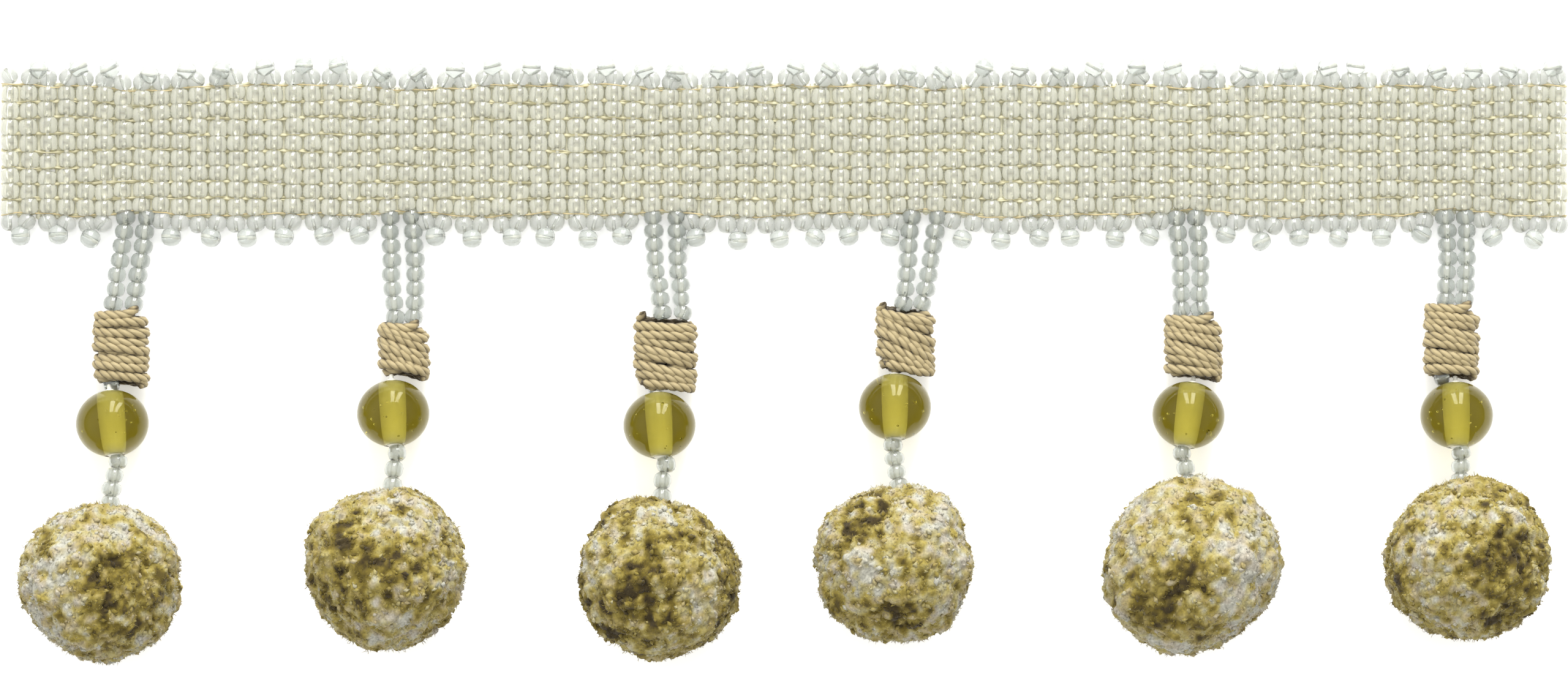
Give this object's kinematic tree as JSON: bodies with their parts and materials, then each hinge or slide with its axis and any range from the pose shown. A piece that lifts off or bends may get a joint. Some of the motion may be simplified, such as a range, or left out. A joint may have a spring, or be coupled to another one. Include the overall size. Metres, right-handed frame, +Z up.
{
  "type": "beaded pompom fringe trim",
  "caption": "Woven band of clear seed beads with picot edges, carrying drops of bead strands, a cord wrap, a round glass bead and a yarn pompom; sewn on along an edge.",
  "frame": {"origin": "under the middle of the lying trim, on the surface it lies on", "axes": "+X along the band, +Y from the pompoms to the band, +Z up out of the surface"},
  "size_m": [0.1732, 0.0668, 0.0195],
  "materials": {
    "seed_beads": "clear gloss",
    "cord": "twisted, matt",
    "olive_glass": "clear gloss",
    "thread": "matt",
    "yarn": "cut pile"
  },
  "bodies": {
    "root": {"band": "seed_beads", "leg_left_1": "seed_beads", "leg_right_1": "seed_beads", "wrap_1": "cord", "glass_bead_1": "olive_glass", "thread_1": "thread", "neck_1": "seed_beads", "pompom_1": "yarn", "leg_left_2": "seed_beads", "leg_right_2": "seed_beads", "wrap_2": "cord", "glass_bead_2": "olive_glass", "thread_2": "thread", "neck_2": "seed_beads", "pompom_2": "yarn", "leg_left_3": "seed_beads", "leg_right_3": "seed_beads", "wrap_3": "cord", "glass_bead_3": "olive_glass", "thread_3": "thread", "neck_3": "seed_beads", "pompom_3": "yarn", "leg_left_4": "seed_beads", "leg_right_4": "seed_beads", "wrap_4": "cord", "glass_bead_4": "olive_glass", "thread_4": "thread", "neck_4": "seed_beads", "pompom_4": "yarn", "leg_left_5": "seed_beads", "leg_right_5": "seed_beads", "wrap_5": "cord", "glass_bead_5": "olive_glass", "thread_5": "thread", "neck_5": "seed_beads", "pompom_5": "yarn", "leg_left_6": "seed_beads", "leg_right_6": "seed_beads", "wrap_6": "cord", "glass_bead_6": "olive_glass", "thread_6": "thread", "neck_6": "seed_beads", "pompom_6": "yarn"}
  },
  "joints": []
}
